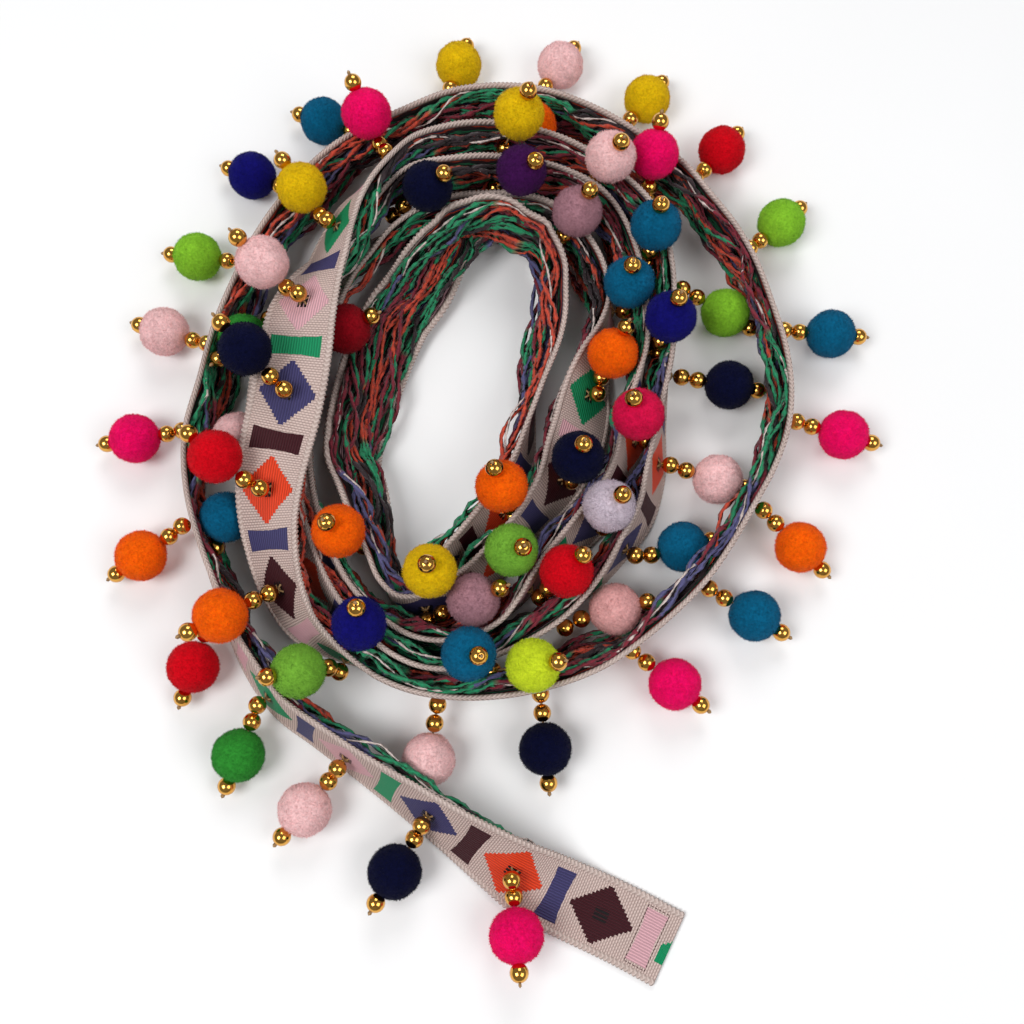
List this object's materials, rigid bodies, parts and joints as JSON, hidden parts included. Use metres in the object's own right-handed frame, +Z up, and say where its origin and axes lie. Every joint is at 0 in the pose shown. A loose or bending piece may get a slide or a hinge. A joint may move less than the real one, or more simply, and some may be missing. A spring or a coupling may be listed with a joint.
{
  "type": "roll of pompom trim",
  "caption": "Loose roll of woven patterned trim, standing on its edge in uneven turns, with beaded felt pompoms sewn along its outer face and a short flat end.",
  "frame": {"origin": "middle of the whole roll in plan, on the surface it lies on", "axes": "+Z up, +Y away from the viewer along the roll's longest side with the flat outer end at -Y, +X to the right"},
  "size_m": [0.2168, 0.271, 0.0458],
  "materials": {
    "woven_tape": "jacquard weave, matt cotton with a slight sheen on the pattern threads",
    "felt_pompoms": "matt wool felt in many colours, with polished gold beads on a thread"
  },
  "bodies": {
    "root": {"tape": "woven_tape", "drops_01": "felt_pompoms", "drops_02": "felt_pompoms", "drops_03": "felt_pompoms", "drops_04": "felt_pompoms", "drops_05": "felt_pompoms", "drops_06": "felt_pompoms", "drops_07": "felt_pompoms", "drops_08": "felt_pompoms", "drops_09": "felt_pompoms", "drops_10": "felt_pompoms", "drops_11": "felt_pompoms", "drops_12": "felt_pompoms", "drops_13": "felt_pompoms", "drops_14": "felt_pompoms", "drops_15": "felt_pompoms", "drops_16": "felt_pompoms", "drops_17": "felt_pompoms", "drops_18": "felt_pompoms", "drops_19": "felt_pompoms", "drops_20": "felt_pompoms", "drops_21": "felt_pompoms", "drops_22": "felt_pompoms", "drops_24": "felt_pompoms", "drops_25": "felt_pompoms", "drops_26": "felt_pompoms", "drops_27": "felt_pompoms", "drops_29": "felt_pompoms", "drops_30": "felt_pompoms", "drops_31": "felt_pompoms", "drops_32": "felt_pompoms", "drops_33": "felt_pompoms", "drops_34": "felt_pompoms", "drops_37": "felt_pompoms", "drops_38": "felt_pompoms", "drops_39": "felt_pompoms"}
  },
  "joints": []
}
